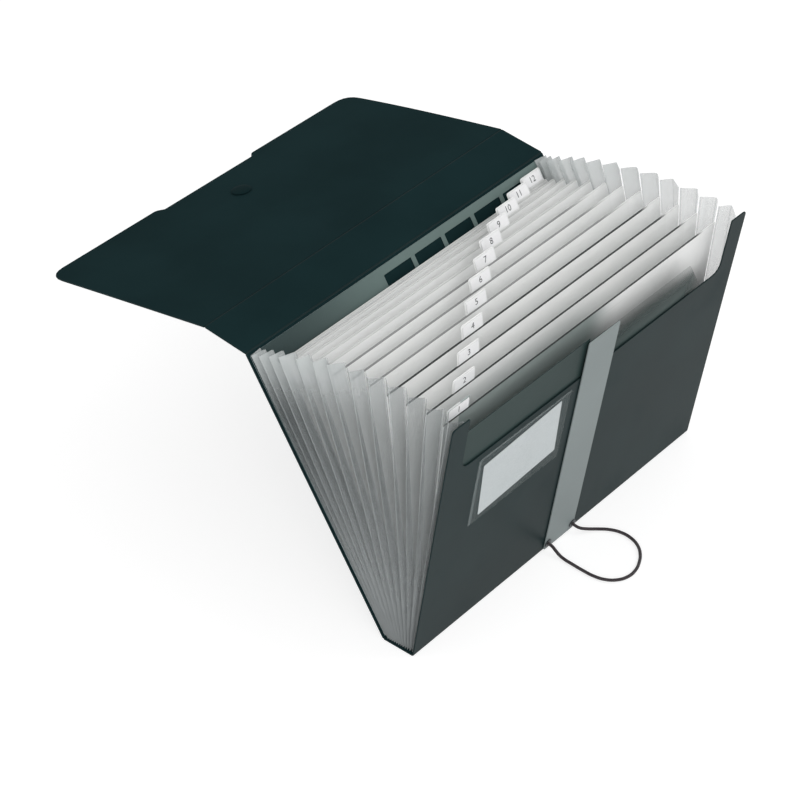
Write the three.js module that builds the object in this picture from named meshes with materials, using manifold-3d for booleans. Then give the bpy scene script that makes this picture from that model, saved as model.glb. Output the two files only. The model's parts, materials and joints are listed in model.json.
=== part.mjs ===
// Expanding file for landscape A4 papers: a scored plastic cover with a flap, thirteen pockets
// between twelve tabbed dividers, and an elastic loop that hooks over a button on the flap.
// It stands on its bottom spine with the cover open in a V. Units are millimetres, +Z is up,
// X runs along the spine, the front cover faces -Y and the flap hangs out to +Y.
import * as THREE from 'three';
import { mergeVertices } from 'three/addons/utils/BufferGeometryUtils.js';
import Module from 'manifold-3d';

const wasm = await Module();
wasm.setup();

// Cover, one scored sheet in five stiff panels
const fileWidth = 330;
const spineDepth = 28;
const frontHeight = 231;
const backHeight = 233.5;
const topSpineDepth = 40;
const flapLength = 168;
const coverThickness = 1.0;
const foldRoom = 0.05;
const spineEdgeGap = 0.4;

// How far each panel leans from upright, in degrees, towards the back when positive
const frontLean = -10.7;
const backLean = 30.6;
const topSpineLean = 83;
const flapLean = 100;

// Front cover outline
const hornWidth = 18;
const cutAwayDepth = 49;
const cutAwayRadius = 9;
const hornRadius = 4;
const sharpCornerRadius = 1.5;

// Flap outline
const flapCornerRadius = 15;
const fingerRecessWidth = 96;
const fingerRecessDepth = 5;
const fingerRecessRadius = 6;
const fingerRecessInnerRadius = 2;

// Pockets
const pocketCount = 13;
const fanBias = 0.85;
const firstPocketRoom = 1.2;
const lastPocketRoom = 0.9;
const dividerHeight = 217;
const dividerThickness = 0.5;
const pleatDepth = 12;
const pleatEdgeInset = 1;
const pleatThickness = 0.3;
const pleatHeight = 227;
const pleatFoot = 0.6;
const pleatFloorOverlap = 0.5;
const pleatFloorLift = 0.15;
const pleatFloorInset = 0.06;
const pleatLeastDepth = 2;
const pleatSteps = 8;
const pleatFoldRoom = 1;
const pleatInsetShare = 0.8;
const dividerCornerRadius = 2.5;
const tabWidth = 23;
const tabHeight = 11;
const tabEndRoom = 2.9;
const tabRadius = 2;
const tabLabelMargin = 1.2;
const tabLabelRadius = 1;
const paperThickness = 0.3;

// Sheet that closes the first pocket behind the cut-away
const liningThickness = 0.4;
const liningFoot = 16;
const liningTallHeight = 226;
const liningLowHeight = 213;
const liningStepX = -14;
const liningFarGap = 33;
const liningSlope = 10;
const liningRadius = 3;

// Index sheet on the back cover
const indexSheetHeight = 231;
const indexSheetMargin = 2;
const indexSheetThickness = 0.4;
const indexSheetRadius = 2;
const windowCount = 5;
const windowWidth = 30;
const windowHeight = 10;
const windowPitch = 34;
const firstWindowX = -11;
const windowFoot = 214;
const windowRadius = 1;

// Strap, label and closure on the front cover and the flap
const strapWidth = 35;
const strapThickness = 1.0;
const strapFoot = 1;
const strapTop = 216;
const labelPocketWidth = 100;
const labelPocketHeight = 68;
const labelPocketToStrap = 9.5;
const labelPocketFoot = 110;
const labelPocketRadius = 2;
const filmThickness = 0.3;
const labelCardWidth = 84;
const labelCardHeight = 52;
const labelCardRadius = 1;
const labelCardTilt = 4;
const labelCardLift = 8;
const cordDiameter = 2.5;
const eyeletSpread = 29;
const eyeletHeight = 7;
const eyeletFlangeRadius = 3.6;
const eyeletFlangeThickness = 0.6;
const eyeletWall = 0.7;
const stopDiscRadius = 3;
const stopDiscThickness = 0.7;
const buttonFromEdge = 42;
const buttonRadius = 8;
const buttonHeight = 6;
const buttonNeckRadius = 4.5;
const buttonNeckHeight = 3;
const buttonRimRise = 0.6;
const buttonCrown = 1.4;
const buttonShoulderRadius = 6.4;
const buttonShoulderDrop = 0.4;
const buttonTopRadius = 3.2;
const rivetShankRadius = 1.8;
const rivetCapRadius = 8;
const rivetCapThickness = 1;
const rivetCapEdge = 0.5;
const rivetCapTopRadius = 4.8;

// Room between pieces that touch, and room for the cord in its eyelets
const seatGap = 0.3;
const cordRoom = 0.35;

const halfWidth = fileWidth / 2;
const halfSpine = spineDepth / 2;
const halfCover = coverThickness / 2;
const scoreGap = halfCover + foldRoom;
const halfDivider = dividerThickness / 2;
const dividerCount = pocketCount - 1;
const dividerHalfWidth = halfWidth - pleatDepth;
const tabPitch = (2 * (dividerHalfWidth - tabEndRoom) - tabWidth) / (dividerCount - 1);
const pocketPitch = (spineDepth - firstPocketRoom - lastPocketRoom) / pocketCount;
const spineTop = coverThickness + seatGap;
const eyeletBore = cordDiameter / 2 + cordRoom;
const eyeletBarrelRadius = eyeletBore + eyeletWall;
const eyeletHoleRadius = eyeletBarrelRadius + seatGap;
const strapFace = halfCover + seatGap + strapThickness;
const eyeletFace = strapFace + seatGap + eyeletFlangeThickness;
const liningFace = halfCover + seatGap + liningThickness;
const indexFace = halfCover + seatGap + indexSheetThickness;
const buttonV = flapLength - buttonFromEdge;
const labelPocketX = -(strapWidth / 2 + labelPocketToStrap + labelPocketWidth / 2);
const liningFarEnd = halfWidth - hornWidth - liningFarGap;

const finishes = {
  cover: { color: 0x2a3a3d, roughness: 0.42, metalness: 0 },
  divider: { color: 0xcfd3d2, roughness: 0.5, metalness: 0 },
  pleat: { color: 0xaeb5b5, roughness: 0.5, metalness: 0 },
  lining: { color: 0x55625f, roughness: 0.5, metalness: 0 },
  strap: { color: 0x8f999a, roughness: 0.55, metalness: 0 },
  film: { color: 0x5d6a6b, roughness: 0.2, metalness: 0 },
  paper: { color: 0xf1f3f4, roughness: 0.8, metalness: 0 },
  cord: { color: 0x2e2729, roughness: 0.85, metalness: 0 },
  metal: { color: 0x3b4042, roughness: 0.35, metalness: 0.9 },
  button: { color: 0x20292b, roughness: 0.35, metalness: 0 },
};

const materials = Object.fromEntries(
  Object.entries(finishes).map(([name, values]) => [name, new THREE.MeshStandardMaterial(values)]),
);

const file = new THREE.Group();

function addMesh(parent, name, geometry, finish) {
  const mesh = new THREE.Mesh(geometry, materials[finish]);
  mesh.name = name;
  parent.add(mesh);
  return mesh;
}

// A panel's own frame: its hinge edge is the X axis, z runs up the panel and y runs to its back
function panelFrame(parent, y, z, lean) {
  const frame = new THREE.Group();
  frame.position.set(0, y, z);
  frame.rotation.x = -THREE.MathUtils.degToRad(lean);
  parent.add(frame);
  return frame;
}

// A closed outline from corners [x, v, radius], each corner rounded with an arc
function roundedOutline(corners) {
  const shape = new THREE.Shape();
  const count = corners.length;
  corners.forEach(([x, v, radius], index) => {
    const corner = new THREE.Vector2(x, v);
    const before = new THREE.Vector2(...corners[(index + count - 1) % count]);
    const after = new THREE.Vector2(...corners[(index + 1) % count]);
    const inward = before.sub(corner).normalize();
    const onward = after.sub(corner).normalize();
    const halfAngle = Math.acos(THREE.MathUtils.clamp(inward.dot(onward), -1, 1)) / 2;
    const reach = radius / Math.tan(halfAngle);
    const start = corner.clone().addScaledVector(inward, reach);
    const end = corner.clone().addScaledVector(onward, reach);
    if (index === 0) {
      shape.moveTo(start.x, start.y);
    } else {
      shape.lineTo(start.x, start.y);
    }
    if (radius > 0) {
      shape.quadraticCurveTo(corner.x, corner.y, end.x, end.y);
    }
  });
  shape.closePath();
  return shape;
}

function rectangle(width, bottom, top, radius = 0, x = 0) {
  const [near, far] = [x - width / 2, x + width / 2];
  return roundedOutline([
    [near, bottom, radius], [far, bottom, radius], [far, top, radius], [near, top, radius],
  ]);
}

function roundHole(x, v, radius) {
  const hole = new THREE.Path();
  hole.absarc(x, v, radius, 0, 2 * Math.PI, true);
  return hole;
}

// A flat sheet in a panel's frame, from its outline, its thickness and the y of its front face
function sheet(shape, thickness, frontY) {
  const geometry = new THREE.ExtrudeGeometry(shape, {
    depth: thickness, bevelEnabled: false, curveSegments: 5,
  });
  geometry.rotateX(Math.PI / 2);
  geometry.translate(0, frontY + thickness, 0);
  return geometry;
}

function toSolid(geometry) {
  const bare = geometry.clone();
  bare.deleteAttribute('normal');
  bare.deleteAttribute('uv');
  const merged = mergeVertices(bare, 1e-5);
  return new wasm.Manifold(new wasm.Mesh({
    numProp: 3,
    vertProperties: new Float32Array(merged.attributes.position.array),
    triVerts: new Uint32Array(merged.index.array),
  }));
}

function toGeometry(solid) {
  const mesh = solid.getMesh();
  const geometry = new THREE.BufferGeometry();
  geometry.setAttribute('position', new THREE.BufferAttribute(new Float32Array(mesh.vertProperties), 3));
  geometry.setIndex(new THREE.BufferAttribute(new Uint32Array(mesh.triVerts), 1));
  geometry.computeVertexNormals();
  return geometry;
}

// Six times the signed volume of a closed body, negative where its faces point inwards
function signedVolume(points, index) {
  let sum = 0;
  for (let i = 0; i < index.length; i += 3) {
    const [a, b, c] = [points[index[i]], points[index[i + 1]], points[index[i + 2]]];
    sum += a.dot(b.clone().cross(c));
  }
  return sum;
}

// A closed body through a row of rings with as many points each. The sides named in
// otherDiagonal are split along their other diagonal, so that a twisted wall keeps its thickness.
function loft(rings, capTriangles, otherDiagonal = []) {
  const count = rings[0].length;
  const last = (rings.length - 1) * count;
  const index = [];
  for (let base = 0; base < last; base += count) {
    for (let side = 0; side < count; side += 1) {
      const [a, b] = [base + side, base + (side + 1) % count];
      const [c, d] = [b + count, a + count];
      if (otherDiagonal.includes(side)) {
        index.push(a, b, d, b, c, d);
      } else {
        index.push(a, b, c, a, c, d);
      }
    }
  }
  for (const [a, b, c] of capTriangles) {
    index.push(a, c, b);
    index.push(last + a, last + b, last + c);
  }
  const points = rings.flat();
  if (signedVolume(points, index) < 0) {
    index.reverse();
  }
  const geometry = new THREE.BufferGeometry();
  const numbers = points.flatMap((point) => point.toArray());
  geometry.setAttribute('position', new THREE.Float32BufferAttribute(numbers, 3));
  geometry.setIndex(index);
  return geometry;
}

// Where a divider is hinged on the spine and how far it leans
function dividerPlace(number) {
  const share = number / pocketCount;
  const spread = share + fanBias * share * share * (1 - share);
  return {
    y: -halfSpine + firstPocketRoom + number * pocketPitch,
    z: spineTop,
    lean: frontLean + (backLean - frontLean) * spread,
  };
}

function frontCover() {
  const frame = panelFrame(file, -halfSpine, halfCover, frontLean);
  const inner = halfWidth - hornWidth;
  const sill = frontHeight - cutAwayDepth;
  const outline = roundedOutline([
    [-halfWidth, scoreGap, 0], [halfWidth, scoreGap, 0],
    [halfWidth, frontHeight, hornRadius], [inner, frontHeight, sharpCornerRadius],
    [inner, sill, cutAwayRadius], [-inner, sill, cutAwayRadius],
    [-inner, frontHeight, sharpCornerRadius], [-halfWidth, frontHeight, hornRadius],
  ]);
  for (const side of [-1, 1]) {
    outline.holes.push(roundHole(side * eyeletSpread / 2, eyeletHeight, eyeletHoleRadius));
  }
  addMesh(frame, 'front_panel', sheet(outline, coverThickness, -halfCover), 'cover');
  return frame;
}

function frontLining(frame) {
  const nearEnd = -(dividerHalfWidth - seatGap);
  const outline = roundedOutline([
    [nearEnd, liningFoot, 0], [liningFarEnd + liningSlope, liningFoot, 0],
    [liningFarEnd + liningSlope, frontHeight - cutAwayDepth, liningRadius],
    [liningFarEnd - liningSlope, liningLowHeight, liningRadius],
    [liningStepX, liningLowHeight, liningRadius],
    [liningStepX, liningTallHeight, liningRadius], [nearEnd, liningTallHeight, 0],
  ]);
  addMesh(frame, 'front_pocket_wall', sheet(outline, liningThickness, halfCover + seatGap), 'lining');
}

function strapAndLabel(frame) {
  const strap = rectangle(strapWidth, strapFoot, strapTop, sharpCornerRadius);
  for (const side of [-1, 1]) {
    strap.holes.push(roundHole(side * eyeletSpread / 2, eyeletHeight, eyeletHoleRadius));
  }
  addMesh(frame, 'centre_strap', sheet(strap, strapThickness, -strapFace), 'strap');

  const cardBack = halfCover + seatGap;
  const filmBack = cardBack + paperThickness + seatGap;
  const pocketTop = labelPocketFoot + labelPocketHeight;
  const outline = rectangle(labelPocketWidth, labelPocketFoot, pocketTop, labelPocketRadius);
  const film = sheet(outline, filmThickness, -filmBack - filmThickness);
  addMesh(frame, 'label_pocket', film, 'film').position.x = labelPocketX;

  const cardHalf = labelCardHeight / 2;
  const cardShape = rectangle(labelCardWidth, -cardHalf, cardHalf, labelCardRadius);
  const cardSheet = sheet(cardShape, paperThickness, -cardBack - paperThickness);
  const card = addMesh(frame, 'label_card', cardSheet, 'paper');
  card.position.set(labelPocketX, 0, labelPocketFoot + labelCardLift + cardHalf);
  card.rotation.y = -THREE.MathUtils.degToRad(labelCardTilt);
}

// A turned piece whose axis is the panel's y, from profile points [radius, y]
function turned(profile, segments = 24) {
  return new THREE.LatheGeometry(profile.map(([r, y]) => new THREE.Vector2(r, y)), segments);
}

function loopFittings(frame) {
  const innerFlange = halfCover + seatGap;
  const innerFace = innerFlange + eyeletFlangeThickness;
  const outerFlange = strapFace + seatGap;
  const discFace = innerFace + seatGap;
  const cordRadius = cordDiameter / 2;
  const eyelet = [
    [eyeletBore, -eyeletFace], [eyeletFlangeRadius, -eyeletFace],
    [eyeletFlangeRadius, -outerFlange], [eyeletBarrelRadius, -outerFlange],
    [eyeletBarrelRadius, innerFlange], [eyeletFlangeRadius, innerFlange],
    [eyeletFlangeRadius, innerFace], [eyeletBore, innerFace], [eyeletBore, -eyeletFace],
  ];
  const stop = [
    [0, -eyeletFace], [cordRadius, -eyeletFace], [cordRadius, discFace],
    [stopDiscRadius, discFace], [stopDiscRadius, discFace + stopDiscThickness],
    [0, discFace + stopDiscThickness],
  ];
  for (const [label, side] of [['near', -1], ['far', 1]]) {
    const x = side * eyeletSpread / 2;
    addMesh(frame, `loop_eyelet_${label}`, turned(eyelet, 20), 'metal').position.set(x, 0, eyeletHeight);
    addMesh(frame, `loop_end_stop_${label}`, turned(stop, 16), 'cord').position.set(x, 0, eyeletHeight);
  }
}

// The loop's route over the table, from the near eyelet round to the far one
const loopRoute = [
  [-14.5, -18.3, 6.82], [-14.6, -21.6, 6.0], [-15.0, -25.0, 4.2], [-15.5, -28.8, 2.4],
  [-16.0, -33.5, 1.45], [-16.6, -42.0, 1.3], [-17.1, -52.0, 1.3], [-17.0, -62.0, 1.3],
  [-14.8, -71.0, 1.3], [-9.4, -78.4, 1.3], [-1.4, -82.4, 1.3], [7.5, -82.4, 1.3],
  [16.2, -79.3, 1.3], [24.2, -74.2, 1.3], [30.6, -67.0, 1.3], [34.2, -58.0, 1.3],
  [34.6, -48.6, 1.3], [31.8, -39.8, 1.3], [26.6, -32.6, 1.5], [20.6, -27.6, 2.9],
  [16.2, -24.0, 4.7], [14.6, -21.2, 6.1], [14.5, -18.3, 6.82],
];
const loopSteps = 40;

function elasticLoop() {
  const points = loopRoute.map((point) => new THREE.Vector3(...point));
  const route = new THREE.CatmullRomCurve3(points, false, 'centripetal');
  const section = new THREE.Shape();
  section.absarc(0, 0, cordDiameter / 2, 0, 2 * Math.PI);
  const geometry = new THREE.ExtrudeGeometry(section, {
    steps: loopSteps, extrudePath: route, curveSegments: 4, bevelEnabled: false,
  });
  addMesh(file, 'elastic_loop', geometry, 'cord');
}

function bottomSpine() {
  const depth = spineDepth - 2 * spineEdgeGap;
  const geometry = new THREE.BoxGeometry(fileWidth, depth, coverThickness);
  geometry.translate(0, 0, coverThickness / 2);
  addMesh(file, 'bottom_spine', geometry, 'cover');
}

function divider(number) {
  const place = dividerPlace(number);
  const frame = panelFrame(file, place.y, place.z, place.lean);
  const name = String(number).padStart(2, '0');
  const tabX = (number - (dividerCount + 1) / 2) * tabPitch;
  const tabTop = dividerHeight + tabHeight;
  const tabHalf = tabWidth / 2;
  const outline = roundedOutline([
    [-dividerHalfWidth, 0, 0], [dividerHalfWidth, 0, 0],
    [dividerHalfWidth, dividerHeight, dividerCornerRadius],
    [tabX + tabHalf, dividerHeight, 0], [tabX + tabHalf, tabTop, tabRadius],
    [tabX - tabHalf, tabTop, tabRadius], [tabX - tabHalf, dividerHeight, 0],
    [-dividerHalfWidth, dividerHeight, dividerCornerRadius],
  ]);
  addMesh(frame, `divider_${name}`, sheet(outline, dividerThickness, -halfDivider), 'divider');

  const labelWidth = tabWidth - 2 * tabLabelMargin;
  const labelTop = tabHeight - tabLabelMargin;
  const label = rectangle(labelWidth, tabLabelMargin, labelTop, tabLabelRadius);
  const labelFront = -(halfDivider + seatGap + paperThickness);
  const mesh = addMesh(frame, `tab_label_${name}`, sheet(label, paperThickness, labelFront), 'paper');
  mesh.position.set(tabX, 0, dividerHeight);
}

// A point on a sheet's face: height up the sheet, and y across it towards its back
function facePoint(place, height, across) {
  const lean = THREE.MathUtils.degToRad(place.lean);
  return new THREE.Vector2(
    place.y + height * Math.sin(lean) + across * Math.cos(lean),
    place.z + height * Math.cos(lean) - across * Math.sin(lean),
  );
}

// The sheets in front of and behind a pocket, with the y of the face that its pleats meet
function pocketSides(number) {
  const front = number === 1
    ? { place: { y: -halfSpine, z: spineTop, lean: frontLean }, face: halfCover }
    : { place: dividerPlace(number - 1), face: halfDivider };
  const rear = number === pocketCount
    ? { place: { y: halfSpine, z: spineTop, lean: backLean }, face: indexFace }
    : { place: dividerPlace(number), face: halfDivider };
  return { front, rear };
}

// Points of the pleat's V at one height: its front end, its outer fold, its rear end
function pleatLine(number, height) {
  const { front, rear } = pocketSides(number);
  const start = facePoint(front.place, height, front.face + seatGap);
  const end = facePoint(rear.place, height, -(rear.face + seatGap));
  return { start, end, fold: start.clone().add(end).multiplyScalar(0.5) };
}

// The pleat's section at one height: the folded strip keeps its width, so the fold draws in
// where the pocket is wide
function pleatRing(number, height, side) {
  const { start, end, fold } = pleatLine(number, height);
  const half = start.distanceTo(end) / 2;
  const stripHalf = pleatDepth - pleatEdgeInset;
  const run = Math.sqrt(Math.max(stripHalf ** 2 - half ** 2, pleatLeastDepth ** 2));
  const slope = Math.hypot(run, half);
  const slant = Math.min(run - pleatFoldRoom, pleatThickness * slope / half);
  const inset = Math.min(half * pleatInsetShare, pleatThickness * slope / run);
  const step = end.clone().sub(start).normalize().multiplyScalar(inset);
  const at = (reach, point) => new THREE.Vector3(side * (dividerHalfWidth + reach), point.x, point.y);
  return [
    at(0, start), at(run, fold), at(0, end),
    at(0, end.clone().sub(step)), at(run - slant, fold), at(0, start.clone().add(step)),
  ];
}

function pleat(number, side) {
  const rings = [];
  for (let step = 0; step <= pleatSteps; step += 1) {
    const height = THREE.MathUtils.lerp(pleatFoot, pleatHeight, step / pleatSteps);
    rings.push(pleatRing(number, height, side));
  }
  return toSolid(loft(rings, [[0, 1, 4], [0, 4, 5], [1, 2, 3], [1, 3, 4]], [3, 4]));
}

function pocketFloor(number) {
  const foot = pleatFoot + pleatFloorLift;
  const low = pleatLine(number, foot);
  const high = pleatLine(number, foot + pleatThickness);
  const reach = dividerHalfWidth + pleatFloorOverlap;
  const inward = new THREE.Vector2(pleatFloorInset, 0);
  const corners = [
    low.start.add(inward), low.end.sub(inward), high.end.sub(inward), high.start.add(inward),
  ];
  const rings = [-reach, reach].map((x) => corners.map((point) => new THREE.Vector3(x, point.x, point.y)));
  return toSolid(loft(rings, [[0, 1, 2], [0, 2, 3]]));
}

// One pocket's pleated edge strip: a V pleat at each end and the pocket's floor between them
function pocketGusset(number) {
  const strip = pleat(number, -1).add(pocketFloor(number)).add(pleat(number, 1));
  addMesh(file, `pocket_gusset_${String(number).padStart(2, '0')}`, toGeometry(strip), 'pleat');
}

function backCover() {
  const frame = panelFrame(file, halfSpine, halfCover, backLean);
  const outline = rectangle(fileWidth, scoreGap, backHeight - scoreGap);
  addMesh(frame, 'back_panel', sheet(outline, coverThickness, -halfCover), 'cover');

  const indexWidth = fileWidth - 2 * indexSheetMargin;
  const index = rectangle(indexWidth, seatGap + scoreGap, indexSheetHeight, indexSheetRadius);
  for (let i = 0; i < windowCount; i += 1) {
    const x = firstWindowX + i * windowPitch;
    index.holes.push(rectangle(windowWidth, windowFoot, windowFoot + windowHeight, windowRadius, x));
  }
  addMesh(frame, 'rear_index_sheet', sheet(index, indexSheetThickness, -indexFace), 'divider');
  return frame;
}

function topSpineAndFlap(backFrame) {
  const spineFrame = panelFrame(backFrame, 0, backHeight, topSpineLean - backLean);
  const strip = rectangle(fileWidth, scoreGap, topSpineDepth - scoreGap);
  addMesh(spineFrame, 'top_spine', sheet(strip, coverThickness, -halfCover), 'cover');

  const flapFrame = panelFrame(spineFrame, 0, topSpineDepth, flapLean - topSpineLean);
  const recess = fingerRecessWidth / 2;
  const recessV = flapLength - fingerRecessDepth;
  const outline = roundedOutline([
    [-halfWidth, scoreGap, 0], [halfWidth, scoreGap, 0],
    [halfWidth, flapLength, flapCornerRadius],
    [recess + fingerRecessDepth, flapLength, fingerRecessRadius],
    [recess, recessV, fingerRecessInnerRadius], [-recess, recessV, fingerRecessInnerRadius],
    [-recess - fingerRecessDepth, flapLength, fingerRecessRadius],
    [-halfWidth, flapLength, flapCornerRadius],
  ]);
  outline.holes.push(roundHole(0, buttonV, rivetShankRadius + seatGap));
  addMesh(flapFrame, 'flap', sheet(outline, coverThickness, -halfCover), 'cover');
  closure(flapFrame);
}

function closure(frame) {
  const seat = halfCover + seatGap;
  const neckTop = seat + buttonNeckHeight;
  const top = seat + buttonHeight;
  const shankEnd = -seat;
  const button = [
    [0, shankEnd], [rivetShankRadius, shankEnd], [rivetShankRadius, seat],
    [buttonNeckRadius, seat], [buttonNeckRadius, neckTop],
    [buttonRadius, neckTop + buttonRimRise], [buttonRadius, top - buttonCrown],
    [buttonShoulderRadius, top - buttonShoulderDrop], [buttonTopRadius, top], [0, top],
  ];
  addMesh(frame, 'closure_button', turned(button), 'button').position.z = buttonV;

  const capFoot = -(seat + seatGap);
  const capTop = capFoot - rivetCapThickness;
  const cap = [
    [0, capTop], [rivetCapTopRadius, capTop], [rivetCapRadius, capTop + rivetCapEdge],
    [rivetCapRadius, capFoot], [0, capFoot],
  ];
  addMesh(frame, 'button_rivet_cap', turned(cap), 'button').position.z = buttonV;
}

bottomSpine();
const frontFrame = frontCover();
frontLining(frontFrame);
strapAndLabel(frontFrame);
loopFittings(frontFrame);
elasticLoop();
for (let number = 1; number <= dividerCount; number += 1) {
  divider(number);
}
for (let number = 1; number <= pocketCount; number += 1) {
  pocketGusset(number);
}
topSpineAndFlap(backCover());

export default file;
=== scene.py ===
"""An expanding file for landscape papers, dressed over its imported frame.

The cover is one scored plastic sheet in five panels. Thirteen pockets fan out between twelve
tabbed dividers, a label pocket and a grey strap sit on the front, and an elastic loop lies on
the table. Lengths are metres, and MM turns a size in millimetres into metres.
"""

import json
import logging
import math
from dataclasses import dataclass
from enum import Enum

import bmesh
import bpy
from mathutils import Matrix, Vector


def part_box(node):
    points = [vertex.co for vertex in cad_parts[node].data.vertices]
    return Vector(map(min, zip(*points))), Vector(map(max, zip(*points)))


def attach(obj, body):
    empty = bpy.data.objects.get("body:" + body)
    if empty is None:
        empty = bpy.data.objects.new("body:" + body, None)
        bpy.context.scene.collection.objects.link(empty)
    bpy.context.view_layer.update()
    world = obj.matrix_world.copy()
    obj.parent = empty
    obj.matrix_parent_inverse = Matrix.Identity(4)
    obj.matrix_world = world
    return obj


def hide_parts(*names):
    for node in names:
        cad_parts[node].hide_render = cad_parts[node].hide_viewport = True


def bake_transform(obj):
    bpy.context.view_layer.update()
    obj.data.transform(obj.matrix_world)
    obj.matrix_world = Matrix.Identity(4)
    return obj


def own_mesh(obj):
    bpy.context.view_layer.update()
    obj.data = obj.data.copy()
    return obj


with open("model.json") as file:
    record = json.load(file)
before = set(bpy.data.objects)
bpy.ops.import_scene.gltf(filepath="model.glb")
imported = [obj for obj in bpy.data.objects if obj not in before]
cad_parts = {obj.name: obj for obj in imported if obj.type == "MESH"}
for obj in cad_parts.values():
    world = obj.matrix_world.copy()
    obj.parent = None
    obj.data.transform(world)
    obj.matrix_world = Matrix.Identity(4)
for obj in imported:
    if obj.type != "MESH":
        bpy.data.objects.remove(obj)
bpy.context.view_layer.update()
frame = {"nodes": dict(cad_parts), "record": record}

LOG = logging.getLogger("expanding_file")
MM = 0.001
RECORD = frame["record"]
BODY_OF = {node: body for body, nodes in RECORD["behaviour"]["bodies"].items() for node in nodes}
JOINT_OF = {joint["name"]: joint for joint in RECORD["behaviour"]["joints"]}
DIVIDER_COUNT = sum(1 for node in BODY_OF if node.startswith("divider_"))
POCKET_COUNT = DIVIDER_COUNT + 1

Color = tuple[float, float, float]


class End(Enum):
    """The two ends of the file: the label's end is near, the plain one far."""

    NEAR = -1
    FAR = 1


@dataclass(frozen=True)
class Leaf:
    """Where a stiff sheet stands: its hinge line in the side view, and its lean.

    Attributes:
        y: the hinge line's place along Y.
        z: the hinge line's height.
        lean: degrees from upright, towards the back when positive.
    """

    y: float
    z: float
    lean: float

    def matrix(self) -> Matrix:
        """The turn and shift from the sheet's own frame, x, across and up, to the file's."""
        turn = Matrix.Rotation(-math.radians(self.lean), 4, "X")
        return Matrix.Translation((0, self.y, self.z)) @ turn

    def point(self, x: float, across: float, height: float) -> Vector:
        """A point of the sheet's own frame in the file's frame."""
        return self.matrix() @ Vector((x, across, height))

    def normal(self) -> Vector:
        """The direction from the sheet's front face to its rear face."""
        return self.matrix().to_3x3() @ Vector((0, 1, 0))

    def upward(self) -> Vector:
        """The direction from the hinge line up the sheet."""
        return self.matrix().to_3x3() @ Vector((0, 0, 1))


def bare_points(node: str) -> list[Vector]:
    """The corners of a CAD node, each one once.

    Args:
        node: the CAD node's name.

    Returns:
        Its corners in the file's frame.
    """
    corners = {tuple(round(c, 7) for c in v.co) for v in frame["nodes"][node].data.vertices}
    return [Vector(corner) for corner in sorted(corners)]


def leaf_of(node: str, joint: str) -> Leaf:
    """Reads a sheet's place from the frame.

    Args:
        node: the sheet's CAD node, which is even about the plane through its hinge line.
        joint: the name of the hinge that it turns on.

    Returns:
        The sheet's hinge line and lean.
    """
    _, y, z = JOINT_OF[joint]["pos_m"]
    points = bare_points(node)
    middle = sum(points, Vector()) / len(points)
    return Leaf(y, z, math.degrees(math.atan2(middle.y - y, middle.z - z)))


def span(node: str, leaf: Leaf) -> tuple[Vector, Vector]:
    """A CAD node's box in a sheet's own frame.

    Args:
        node: the CAD node's name.
        leaf: the sheet that it lies on.

    Returns:
        The lowest and the highest corner, as x, across and height.
    """
    inverse = leaf.matrix().inverted()
    points = [inverse @ point for point in bare_points(node)]
    low, high = (Vector(pick(p[i] for p in points) for i in range(3)) for pick in (min, max))
    return low, high


FRONT = leaf_of("front_panel", "front_cover_opening")
BACK = leaf_of("back_panel", "cover_opening")
TOP = leaf_of("top_spine", "top_strip_fold")
FLAP = leaf_of("flap", "flap_fold")
DIVIDERS = [leaf_of(f"divider_{k:02d}", f"divider_{k:02d}_fan") for k in range(1, DIVIDER_COUNT + 1)]
DIVIDER_END = span("divider_01", DIVIDERS[0])[1].x


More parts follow.
